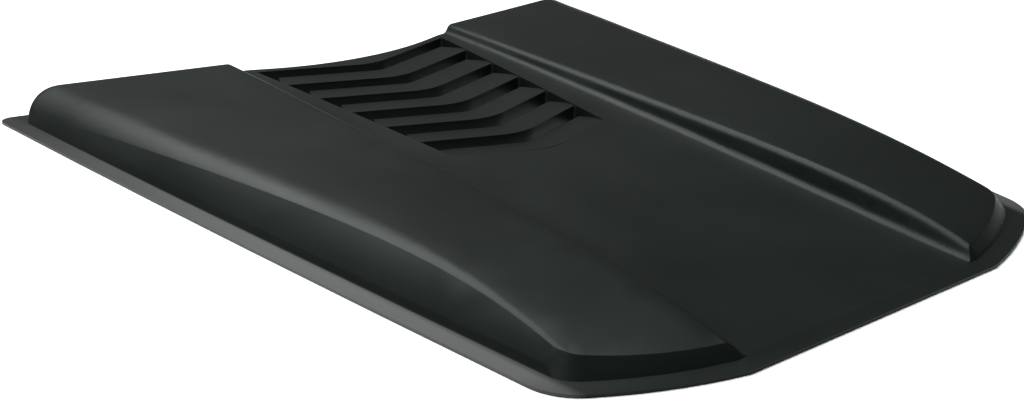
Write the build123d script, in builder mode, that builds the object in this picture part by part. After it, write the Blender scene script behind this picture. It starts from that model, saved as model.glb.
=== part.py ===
# Bonnet grille: a one-piece moulded cover that sticks to a car bonnet by its flange.
# Two raised pods run front to rear with a channel between them. Six open louvre slots
# lie across the rear half of the channel as chevrons that point forward.
# X is across the car, +Y towards the windscreen, +Z up. The flange rests on Z = 0.
import os
from math import atan, cos, exp, hypot, radians, tan

from build123d import *

os.makedirs("parts", exist_ok=True)

# Sheet
wall = 3.0              # thickness of flange, pods and rear wall
floor_wall = 4.0        # thickness of the channel floor

# Plan of the flange, as half widths and distances back from the front edge
panel_length = 911.0    # front edge to the rear tips
front_half = 149.7      # half of the straight run of the front edge
corner_half = 288.2     # front corner before it is rounded
corner_back = 59.3
corner_radius = 54.0
front_bow = 7.1         # outward bow of the swept front edge
rear_half = 427.6       # rear tips before they are rounded
tip_radius = 12.0
side_bow = 3.3          # outward bow of the side edge
flange_width = 17.0

# Rear edge: a chevron across the channel, then a straight sweep back to each tip
rear_apex = 794.0       # distance back of the chevron's point before it is rounded
rear_slope = 0.43
rear_knee_half = 140.0  # where the chevron meets the straight sweep
apex_radius = 300.0
knee_radius = 70.0

# Pods
pod_height = 35.5       # top of the outer shoulder at the rear
pod_crown = 9.0         # how far it swells, most of all at a third of the length
crest_height = 36.5     # top of the wall beside the channel
nose_height = 3.5       # where the shoulder line runs out at the front edge
nose_run = 130.0        # distance over which the shoulder falls to it
nose_power = 1.2
crest_drop = 30.0
crest_run = 90.0
crest_sag = 1.0         # fall of the crest towards the rear
side_lean = 30.0        # outer wall, degrees from upright
nose_lean = 40.0        # front wall, degrees from upright
shoulder_front = 0.5    # shoulder radius over shoulder height, at the front edge
shoulder_rear = 1.7     # and at the rear tips
crest_set = 7.0         # how far the channel wall leans over its height
edge_radius = 9.0       # crest and foot of the channel wall
nose_corner_radius = 46.0
rear_corner_radius = 38.0
corner_ease = 3.0       # how far outside the side wall the rounded corners run out
nose_edge_radius = 2.0  # rounding of the nose's top edge
rear_edge_radius = 1.5  # rounding of the rear wall's top edge

# Channel
foot_front = 138.0      # half width of the channel floor at the front
foot_rear = 154.0       # and at the rear
floor_start = 2.5       # height of the floor where it runs out under the flange
floor_rise = 22.0
rise_start = 20.0       # where the floor starts to climb

# Louvre field
slot_count = 6
slot_pitch = 66.0       # between the two rearmost slots
pitch_step = 2.15       # each next pitch is this much shorter
slot_gap = 16.7         # open width of a slot, measured along Y on the centre line
first_slot = 784.9      # rear edge of the rearmost slot on the centre line
chevron_slope = 0.39
bend_radius = 64.0
field_rear_half = 135.5     # half width of the field at the rearmost slot
field_lean = 0.096          # narrowing of each side per length forward
blade_wall = 2.5
blade_sink = 3.9        # how far a blade's rear edge lies below the floor
lip_depth = 16.0        # depth of the turned-down lips and side walls
run_out = 37.0          # length of the ramp in front of the last slot
well_radius = 4.0       # rounding where a lip meets a side wall
well_bulge = 0.28       # depth of that rounding, as a share of the corner
bond = 1.0              # how far joined pieces of the moulding reach into each other

# Lofting
station_count = 10
first_station = 7.5
station_growth = 1.35
overrun = 100.0         # how far trimming outlines reach past the panel

swell_peak = 27 / 4     # makes the swell reach its full height at a third of the length
front_edge = -panel_length / 2
chevron_angle = atan(chevron_slope)
field_rear = first_slot + chevron_slope * field_rear_half


def along(back):
    """Y of a point that lies this far back from the front edge."""
    return front_edge + back


def moved(points, gaps):
    """A chain of lines, each moved to its right by its own gap."""
    lines = []
    for start, end, gap in zip(points, points[1:], gaps):
        run = hypot(end[0] - start[0], end[1] - start[1])
        way = ((end[0] - start[0]) / run, (end[1] - start[1]) / run)
        lines.append(((start[0] + gap * way[1], start[1] - gap * way[0]), way, run))
    chain = [lines[0][0]]
    for (a, u, _), (b, v, _) in zip(lines, lines[1:]):
        cross = u[0] * v[1] - u[1] * v[0]
        reach = ((b[0] - a[0]) * v[1] - (b[1] - a[1]) * v[0]) / cross
        chain.append((a[0] + reach * u[0], a[1] + reach * u[1]))
    last, way, run = lines[-1]
    chain.append((last[0] + run * way[0], last[1] + run * way[1]))
    return chain


def bowed(start, end, bow):
    """An arc from start to end that bows to the right of its chord."""
    run = hypot(end[0] - start[0], end[1] - start[1])
    middle = (
        (start[0] + end[0]) / 2 + bow * (end[1] - start[1]) / run,
        (start[1] + end[1]) / 2 - bow * (end[0] - start[0]) / run,
    )
    return ThreePointArc(start, middle, end)


def plan_points(front_gap, side_gap, rear_gap):
    """Right half of the plan from the front centre round to the rear centre, moved inwards."""
    knee_back = rear_apex + rear_slope * rear_knee_half
    half = [
        (0.0, along(0)),
        (front_half, along(0)),
        (corner_half, along(corner_back)),
        (rear_half, along(panel_length)),
        (rear_knee_half, along(knee_back)),
        (0.0, along(rear_apex)),
    ]
    moved_half = moved(half, [-front_gap, -front_gap, -side_gap, -rear_gap, -rear_gap])
    apex_shift = rear_gap / cos(atan(rear_slope))
    moved_half[-1] = (0.0, along(rear_apex) - apex_shift)
    return moved_half


def plan(front_gap=0.0, side_gap=0.0, rear_gap=0.0, front_radius=0.0, rear_radius=0.0):
    """Outline of the panel in plan, moved inwards with rounded corners. Behind the panel the rear stays sharp."""
    centre, bend, corner, tip, knee, apex = plan_points(front_gap, side_gap, rear_gap)
    with BuildSketch(mode=Mode.PRIVATE) as outline:
        with BuildLine():
            for side in (1, -1):
                points = [(side * x, y) for x, y in (centre, bend, corner, tip)]
                Line(points[0], points[1])
                bowed(points[1], points[2], side * front_bow)
                bowed(points[2], points[3], side * side_bow)
            rear = [tip, knee, apex, (-knee[0], knee[1]), (-tip[0], tip[1])]
            if rear_gap < 0:
                Polyline(*rear)
            else:
                rear_radii = [knee_radius - rear_gap, apex_radius + rear_gap, knee_radius - rear_gap]
                FilletPolyline(*rear, radius=rear_radii)
        make_face()
        if front_radius > 0:
            outside = (bend[0] + corner[0]) / 2
            fillet(outline.vertices().filter_by(lambda v: v.Y < 0 and abs(v.X) > outside), front_radius)
        if rear_radius > 0:
            outside = (knee[0] + tip[0]) / 2
            fillet(outline.vertices().filter_by(lambda v: v.Y > 0 and abs(v.X) > outside), rear_radius)
    return outline.sketch


def side_half(back):
    """Half width of the flange's side edge."""
    share = (back - corner_back) / (panel_length - corner_back)
    straight = corner_half + (rear_half - corner_half) * share
    return straight + side_bow * 4 * share * (1 - share)


def floor_height(back):
    share = max(0.0, (back - rise_start) / (panel_length - rise_start))
    return floor_start + floor_rise * (1 - (1 - share) ** 2)


def half_section(back):
    """Points of the upper surface from the centre line out to the flange, as (x, z)."""
    floor = floor_height(back)
    foot = foot_front + (foot_rear - foot_front) * back / panel_length
    crest = crest_height - crest_drop * exp(-back / crest_run) - crest_sag * (back / panel_length) ** 2
    share = back / panel_length
    swell = pod_height
    if share < 1:
        swell += pod_crown * swell_peak * share * (1 - share) ** 2
    shoulder = swell - (swell - nose_height) * exp(-((back / nose_run) ** nose_power))
    base = side_half(back) - flange_width
    return [
        (0.0, floor),
        (foot, floor),
        (foot + crest_set, crest),
        (base - shoulder * tan(radians(side_lean)), shoulder),
        (base, 0.0),
    ]


def full_section(back, thickness):
    """Closed section across the panel: the outer form, or the hollow that leaves this thickness."""
    points = half_section(back)
    shoulder_radius = (shoulder_front + (shoulder_rear - shoulder_front) * back / panel_length) * points[3][1]
    radii = [edge_radius, edge_radius, shoulder_radius]
    if thickness > 0:
        points = moved(points, [floor_wall, thickness, thickness, thickness])
        points[-1] = (points[-1][0] + 2 * wall * tan(radians(side_lean)), points[-1][1] - 2 * wall)
        radii = [edge_radius + thickness, edge_radius - thickness, max(shoulder_radius - thickness, bond)]
    left = [(-x, z) for x, z in reversed(points[1:])]
    level = Plane(origin=(0, along(back), 0), x_dir=(1, 0, 0), z_dir=(0, -1, 0))
    with BuildSketch(level, mode=Mode.PRIVATE) as section:
        with BuildLine():
            FilletPolyline(*left, *points[1:], radius=radii[::-1] + radii)
            Line(points[-1], left[0])
        make_face()
    return section.sketch


def eased(edges, radius):
    """Round these edges of the open form, or leave them crisp where a size leaves no room for it."""
    try:
        fillet(edges, radius)
    except ValueError:
        print("edges left crisp at radius", radius)


def crossing_edges(form, front, rear):
    """Edges above the base that lie wholly between two distances back."""
    edges = form.edges().filter_by(lambda edge: edge.bounding_box().max.Z > bond)
    edges = edges.filter_by(lambda edge: edge.bounding_box().min.Y > along(front))
    edges = edges.filter_by(lambda edge: edge.bounding_box().max.Y < along(rear))
    return edges.filter_by(GeomType.BSPLINE)


def lofted(thickness):
    """The panel's form from in front of its nose to behind its rear edge, trimmed in plan."""
    low = -thickness
    rise = pod_height + pod_crown
    nose_gap = flange_width + (low - wall) * tan(radians(nose_lean)) + thickness / cos(radians(nose_lean))
    ease_gap = flange_width - corner_ease + thickness
    with BuildPart(mode=Mode.PRIVATE) as form:
        for step in range(station_count):
            share = (step / (station_count - 1)) ** station_growth
            add(full_section(first_station + (panel_length + 2 * first_station) * share, thickness))
        loft()
        with BuildSketch(Plane.XY.offset(low)):
            add(plan(nose_gap, ease_gap, -overrun, front_radius=nose_corner_radius))
        extrude(amount=rise, taper=nose_lean, mode=Mode.INTERSECT)
        with BuildSketch(Plane.XY.offset(low)):
            add(plan(-overrun, ease_gap, thickness, rear_radius=rear_corner_radius))
        extrude(amount=rise, mode=Mode.INTERSECT)
        if thickness == 0:
            eased(crossing_edges(form, 0, corner_back + nose_corner_radius), nose_edge_radius)
            eased(crossing_edges(form, rear_apex - slot_pitch, panel_length), rear_edge_radius)
    return form.part


def slot_back(slot):
    """Distance back of a slot's rear edge on the centre line, counted from the rearmost slot."""
    return first_slot - slot * slot_pitch + slot * (slot - 1) / 2 * pitch_step


ramp_front = slot_back(slot_count - 1) - slot_gap - run_out


def field_half(apex_back):
    """Half width at which a chevron with this apex meets the sides of the louvre field."""
    return (field_rear_half - field_lean * (field_rear - apex_back)) / (1 - field_lean * chevron_slope)


def chevron_points(apex_back, extra=0.0):
    """Left end, apex and right end of a chevron line across the louvre field."""
    half = field_half(apex_back) + extra
    end = along(apex_back + chevron_slope * half)
    return [(-half, end), (0.0, along(apex_back)), (half, end)]


def field_sketch(rear_back, front_back, extra=0.0):
    """Plan of the louvre field between two chevrons, with its sides moved outwards."""
    with BuildSketch(mode=Mode.PRIVATE) as field:
        with BuildLine():
            rear_line = FilletPolyline(*chevron_points(rear_back, extra), radius=bend_radius)
            front_line = FilletPolyline(*chevron_points(front_back, extra), radius=bend_radius)
            Line(rear_line @ 0, front_line @ 0)
            Line(rear_line @ 1, front_line @ 1)
        make_face()
    return field.sketch


def bar(apex_back, profile):
    """A bar swept along a chevron at floor level. The profile is (rearward, up) from that line."""
    height = floor_height(apex_back + chevron_slope * field_half(apex_back) / 2)
    with BuildPart(mode=Mode.PRIVATE) as strip:
        with BuildLine(Plane.XY.offset(height)) as path:
            FilletPolyline(*chevron_points(apex_back, 2 * wall), radius=bend_radius)
        line = path.wires()[0]
        ahead = line % 0
        across = Plane(origin=line @ 0, x_dir=(-ahead.Y, ahead.X, 0), z_dir=ahead)
        with BuildSketch(across):
            with BuildLine():
                Polyline(*profile, close=True)
            make_face()
        sweep(path=line)
    return strip.part


def lip_profile():
    return [(0, -bond), (blade_wall, -bond), (blade_wall, -lip_depth), (0, -lip_depth)]


def blade_profile(slot):
    depth = (slot_back(slot - 1) - slot_gap - slot_back(slot)) * cos(chevron_angle)
    under = -blade_wall - blade_sink * blade_wall / depth
    return [
        (0, 0),
        (depth, -blade_sink),
        (depth, -blade_sink - blade_wall),
        (blade_wall, under),
        (blade_wall, -lip_depth),
        (0, -lip_depth),
    ]


def ramp_profile():
    depth = run_out * cos(chevron_angle)
    return [
        (-bond, -bond),
        (0, 0),
        (depth, -blade_sink),
        (depth, -blade_sink - blade_wall),
        (-bond, -bond - blade_wall),
    ]


def well_fill(apex_back):
    """Plan of the rounded corner between a lip and the right side wall."""
    apex, corner = [Vector(x, y) for x, y in chevron_points(apex_back)[1:]]
    inward = (apex - corner).normalized()
    forward = Vector(-field_lean, -1).normalized()
    half_angle = radians(inward.get_angle(forward)) / 2
    reach = well_radius / tan(half_angle)
    on_lip = corner + inward * reach
    on_side = corner + forward * reach
    middle = (on_lip + on_side) * 0.5
    hollow = middle + (corner - middle) * well_bulge
    with BuildSketch(mode=Mode.PRIVATE) as fill:
        with BuildLine():
            ThreePointArc(on_lip, hollow, on_side)
            Polyline(on_side, corner - (inward + forward) * bond, on_lip)
        make_face()
    return fill.sketch


with BuildPart() as louvres:
    add(bar(first_slot, lip_profile()))
    for slot in range(1, slot_count):
        add(bar(slot_back(slot), blade_profile(slot)))
    add(bar(ramp_front, ramp_profile()))
    with BuildSketch():
        add(field_sketch(first_slot + slot_pitch, ramp_front - slot_pitch, blade_wall / 2))
    extrude(amount=pod_height, mode=Mode.INTERSECT)
    front_end = Vector(*chevron_points(ramp_front)[2])
    rear_end = Vector(*chevron_points(first_slot)[2])
    run = (rear_end - front_end).normalized()
    length = (rear_end - front_end).length + blade_wall
    front_top = floor_height(front_end.Y - front_edge) - bond
    rear_top = floor_height(rear_end.Y - front_edge) - bond
    with BuildSketch(Plane(origin=front_end, x_dir=run, z_dir=(run.Y, -run.X, 0))):
        with BuildLine():
            Polyline(
                (0, front_top),
                (length, rear_top),
                (length, rear_top + bond - lip_depth),
                (run_out, front_top + bond - lip_depth),
                (0, front_top + bond - floor_wall),
                close=True,
            )
        make_face()
    side_wall = extrude(amount=blade_wall)
    mirror(side_wall, about=Plane.YZ)
    for slot in range(slot_count):
        lip_back = slot_back(slot)
        level = floor_height(lip_back + chevron_slope * field_half(lip_back) / 2)
        with BuildSketch(Plane.XY.offset(level - lip_depth)):
            add(well_fill(lip_back))
            mirror(about=Plane.YZ)
        extrude(amount=lip_depth - bond)

with BuildPart() as panel:
    with BuildSketch():
        add(plan(front_radius=corner_radius, rear_radius=tip_radius))
    extrude(amount=wall)
    add(lofted(0))
    add(lofted(wall), mode=Mode.SUBTRACT)
    with BuildSketch():
        add(field_sketch(first_slot, ramp_front))
    extrude(amount=pod_height, mode=Mode.SUBTRACT)
    add(louvres.part)

centred = panel.part.moved(Location((0, -panel.part.bounding_box().center().Y, 0)))
centred.label = "grille_panel"
export_step(centred, "parts/grille_panel.step")
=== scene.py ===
import bpy
import bmesh
import math
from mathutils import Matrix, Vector


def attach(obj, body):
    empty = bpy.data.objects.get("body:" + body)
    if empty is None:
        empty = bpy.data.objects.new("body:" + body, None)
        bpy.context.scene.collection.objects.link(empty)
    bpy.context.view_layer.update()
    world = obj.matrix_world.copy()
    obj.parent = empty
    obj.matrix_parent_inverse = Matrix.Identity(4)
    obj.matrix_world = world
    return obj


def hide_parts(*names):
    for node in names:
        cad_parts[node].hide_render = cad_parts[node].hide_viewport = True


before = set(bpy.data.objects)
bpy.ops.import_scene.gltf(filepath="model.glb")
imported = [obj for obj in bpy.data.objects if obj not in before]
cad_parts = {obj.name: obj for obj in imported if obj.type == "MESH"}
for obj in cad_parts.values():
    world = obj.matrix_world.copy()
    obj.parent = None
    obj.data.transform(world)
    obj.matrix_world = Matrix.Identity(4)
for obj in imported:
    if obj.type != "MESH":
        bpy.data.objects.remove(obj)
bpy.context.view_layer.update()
print("frame loaded:", sorted(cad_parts))

# Small helpers for node trees


def newMaterial(name):
    material = bpy.data.materials.new(name)
    material.use_nodes = True
    nodes = material.node_tree.nodes
    nodes.clear()
    output = nodes.new("ShaderNodeOutputMaterial")
    shader = nodes.new("ShaderNodeBsdfPrincipled")
    material.node_tree.links.new(shader.outputs["BSDF"], output.inputs["Surface"])
    return material, shader


def addNode(material, kind, inputs, **settings):
    node = material.node_tree.nodes.new(kind)
    for key, value in settings.items():
        setattr(node, key, value)
    for key, value in inputs.items():
        if isinstance(value, bpy.types.NodeSocket):
            material.node_tree.links.new(value, node.inputs[key])
        else:
            node.inputs[key].default_value = value
    return node


def addNoise(material, coords, scale, detail, breakUp):
    inputs = {"Vector": coords, "Scale": scale, "Detail": detail, "Roughness": breakUp}
    return addNode(material, "ShaderNodeTexNoise", inputs).outputs["Fac"]


def mapRange(material, value, fromRange, toRange):
    inputs = {"Value": value}
    inputs["From Min"], inputs["From Max"] = fromRange
    inputs["To Min"], inputs["To Max"] = toRange
    return addNode(material, "ShaderNodeMapRange", inputs).outputs["Result"]


def calculate(material, operation, *values):
    inputs = dict(enumerate(values))
    return addNode(material, "ShaderNodeMath", inputs, operation=operation).outputs[0]


def mixColours(material, factor, first, second):
    inputs = {0: factor, 6: first, 7: second}    # sockets 6 and 7 are the two colours
    return addNode(material, "ShaderNodeMix", inputs, data_type="RGBA").outputs[2]


# Moulded plastic: satin black with a fine grain; a painted sheen makes the side flanges paler

mouldedPlastic = {
    "darkColour": (0.0036, 0.0050, 0.0048, 1.0),
    "paleColour": (0.0056, 0.0074, 0.0071, 1.0),
    "patchScale": 7.0,              # flow patches left by moulding, per metre
    "patchDetail": 4.0,
    "patchBreakUp": 0.55,
    "patchRange": (0.3, 0.7),       # patch values that get the two ends of the roughness
    "roughness": (0.33, 0.41),
    "grainScale": 900.0,            # moulded grain, cells per metre
    "grainDetail": 2.0,
    "grainBreakUp": 0.5,
    "grainStrength": 0.5,
    "grainDepth": 0.00006,
    "specular": 0.135,
    "shineTint": (0.85, 1.0, 0.95, 1.0),
    # painted sheen: a paler colour standing in for the light that the side flanges catch
    "flangeSheenColour": (0.064, 0.066, 0.067, 1.0),
    "flangeTop": 0.0031,            # height up to which the painted sheen covers a side flange
    "flangeFade": 0.0012,           # and the height over which that ends
    "flangeStart": 0.3330,          # half width at mid length where a side flange starts
    "flangeSpread": 0.1637,         # how much wider that gets per length towards the rear
    "flangeBlend": 0.008,           # width over which the painted sheen comes in
    "flangeFront": (-0.44, -0.36),  # stretch of the length where it comes in
    "flangeRear": (-0.05, 0.42),    # stretch where it fades out again
    "flangeLeast": 0.15,            # what is left of it at both ends
}


# Share of the painted sheen on the side flanges: an outer strip that fades out towards the front and rear
# ends
def paintedFlangeSheenShare(material, coords, values):
    place = addNode(material, "ShaderNodeSeparateXYZ", {"Vector": coords}).outputs
    top, least = values["flangeTop"], values["flangeLeast"]
    low = mapRange(material, place["Z"], (top, top + values["flangeFade"]), (1.0, 0.0))
    half = calculate(material, "ABSOLUTE", place["X"])
    start = calculate(material, "MULTIPLY_ADD", place["Y"], values["flangeSpread"], values["flangeStart"])
    beyond = calculate(material, "SUBTRACT", half, start)
    outer = mapRange(material, beyond, (0.0, values["flangeBlend"]), (0.0, 1.0))
    front = mapRange(material, place["Y"], values["flangeFront"], (least, 1.0))
    rear = mapRange(material, place["Y"], values["flangeRear"], (1.0, least))
    share = calculate(material, "MULTIPLY", low, outer)
    share = calculate(material, "MULTIPLY", share, rear)
    return calculate(material, "MULTIPLY", share, front)


def makeMouldedPlastic(values):
    material, shader = newMaterial("mouldedPlastic")
    links = material.node_tree.links
    coords = addNode(material, "ShaderNodeTexCoord", {}).outputs["Object"]
    patches = addNoise(material, coords, values["patchScale"], values["patchDetail"], values["patchBreakUp"])
    grain = addNoise(material, coords, values["grainScale"], values["grainDetail"], values["grainBreakUp"])
    bodyColour = mixColours(material, patches, values["darkColour"], values["paleColour"])
    # painted sheen: mixes the paler flange colour over the body colour
    flangeSheenShare = paintedFlangeSheenShare(material, coords, values)
    colour = mixColours(material, flangeSheenShare, bodyColour, values["flangeSheenColour"])
    roughness = mapRange(material, patches, values["patchRange"], values["roughness"])
    bumpInputs = {"Height": grain, "Strength": values["grainStrength"], "Distance": values["grainDepth"]}
    bump = addNode(material, "ShaderNodeBump", bumpInputs)
    links.new(colour, shader.inputs["Base Color"])
    links.new(roughness, shader.inputs["Roughness"])
    links.new(bump.outputs["Normal"], shader.inputs["Normal"])
    shader.inputs["Specular IOR Level"].default_value = values["specular"]
    shader.inputs["Specular Tint"].default_value = values["shineTint"]
    return material


plastic = makeMouldedPlastic(mouldedPlastic)
print("material made:", plastic.name)

# Grille panel: a merged copy of the moulded body with soft shading

grillePanel = {
    "mergeDistance": 0.00002,
    "sharpAngle": 32.0,       # degrees; flatter edges shade as one surface
}


def makeGrillePanel(values):
    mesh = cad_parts["grille_panel"].data.copy()
    mesh.name = "grillePanel"
    bm = bmesh.new()
    bm.from_mesh(mesh)
    bmesh.ops.remove_doubles(bm, verts=bm.verts, dist=values["mergeDistance"])
    for face in bm.faces:
        face.smooth = True
    limit = math.radians(values["sharpAngle"])
    for edge in bm.edges:
        edge.smooth = len(edge.link_faces) == 2 and edge.calc_face_angle(0.0) < limit
    bm.to_mesh(mesh)
    bm.free()
    mesh.materials.clear()
    mesh.materials.append(plastic)
    panel = bpy.data.objects.new("grillePanel", mesh)
    bpy.context.scene.collection.objects.link(panel)
    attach(panel, "root")
    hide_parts("grille_panel")
    return panel


panel = makeGrillePanel(grillePanel)
print("panel made:", len(panel.data.polygons), "faces")

# Pale floor

studioFloor = {
    "size": 12.0,
    "colour": (0.86, 0.86, 0.86, 1.0),
    "roughness": 0.9,
}


def makeFloor(values):
    mesh = bpy.data.meshes.new("floor")
    bm = bmesh.new()
    bmesh.ops.create_grid(bm, x_segments=1, y_segments=1, size=values["size"] / 2)
    bm.to_mesh(mesh)
    bm.free()
    floor = bpy.data.objects.new("floor", mesh)
    bpy.context.scene.collection.objects.link(floor)
    material, shader = newMaterial("paleFloor")
    shader.inputs["Base Color"].default_value = values["colour"]
    shader.inputs["Roughness"].default_value = values["roughness"]
    mesh.materials.append(material)


makeFloor(studioFloor)
print("floor made")

# Soft studio light; sizes and places in metres, power in watts

studioWorld = {
    "colour": (1.0, 1.0, 1.0, 1.0),
    "strength": 0.12,
}

studioLights = {
    "backLight": {
        "place": (-0.9, 2.2, 1.9),
        "target": (0.0, 0.0, 0.0),
        "size": (2.2, 0.7),
        "power": 30.0,
    },
    "topLight": {
        "place": (-0.4, 1.4, 3.6),
        "target": (-0.4, 0.0, 0.0),
        "size": (4.0, 4.0),
        "power": 320.0,
    },
    "sideLight": {
        "place": (-2.6, -0.9, 1.3),
        "target": (-0.35, -0.3, 0.0),
        "size": (1.2, 0.8),
        "power": 24.0,
    },
}


def makeWorld(values):
    world = bpy.data.worlds.new("studioWorld")
    world.use_nodes = True
    background = world.node_tree.nodes["Background"]
    background.inputs["Color"].default_value = values["colour"]
    background.inputs["Strength"].default_value = values["strength"]
    bpy.context.scene.world = world


def makeAreaLight(name, values):
    data = bpy.data.lights.new(name, "AREA")
    data.shape = "RECTANGLE"
    data.size, data.size_y = values["size"]
    data.energy = values["power"]
    light = bpy.data.objects.new(name, data)
    light.location = values["place"]
    light.rotation_mode = "QUATERNION"
    ahead = Vector(values["target"]) - Vector(values["place"])
    light.rotation_quaternion = ahead.to_track_quat("-Z", "Y")
    bpy.context.scene.collection.objects.link(light)


makeWorld(studioWorld)
for lightName, lightValues in studioLights.items():
    makeAreaLight(lightName, lightValues)
print("lights made:", len(studioLights))

# Camera at the angle of the photograph

photoCamera = {
    "place": (-0.7595, -0.98657, 0.4644),
    "azimuth": 36.45,         # degrees the view turns from +Y towards +X
    "pitch": 22.497,          # degrees below the horizon
    "lens": 43.95,            # millimetres, on the sensor width below
    "sensorWidth": 36.0,
    "clip": (0.01, 100.0),
}


def makeCamera(values):
    data = bpy.data.cameras.new("photoCamera")
    data.sensor_width = values["sensorWidth"]
    data.lens = values["lens"]
    data.clip_start, data.clip_end = values["clip"]
    turn, pitch = math.radians(values["azimuth"]), math.radians(values["pitch"])
    level = math.cos(pitch)
    ahead = Vector((math.sin(turn) * level, math.cos(turn) * level, -math.sin(pitch)))
    camera = bpy.data.objects.new("photoCamera", data)
    camera.location = values["place"]
    camera.rotation_mode = "QUATERNION"
    camera.rotation_quaternion = ahead.to_track_quat("-Z", "Y")
    bpy.context.scene.collection.objects.link(camera)
    bpy.context.scene.camera = camera


makeCamera(photoCamera)
bpy.context.scene.view_settings.view_transform = "Standard"
print("camera made")
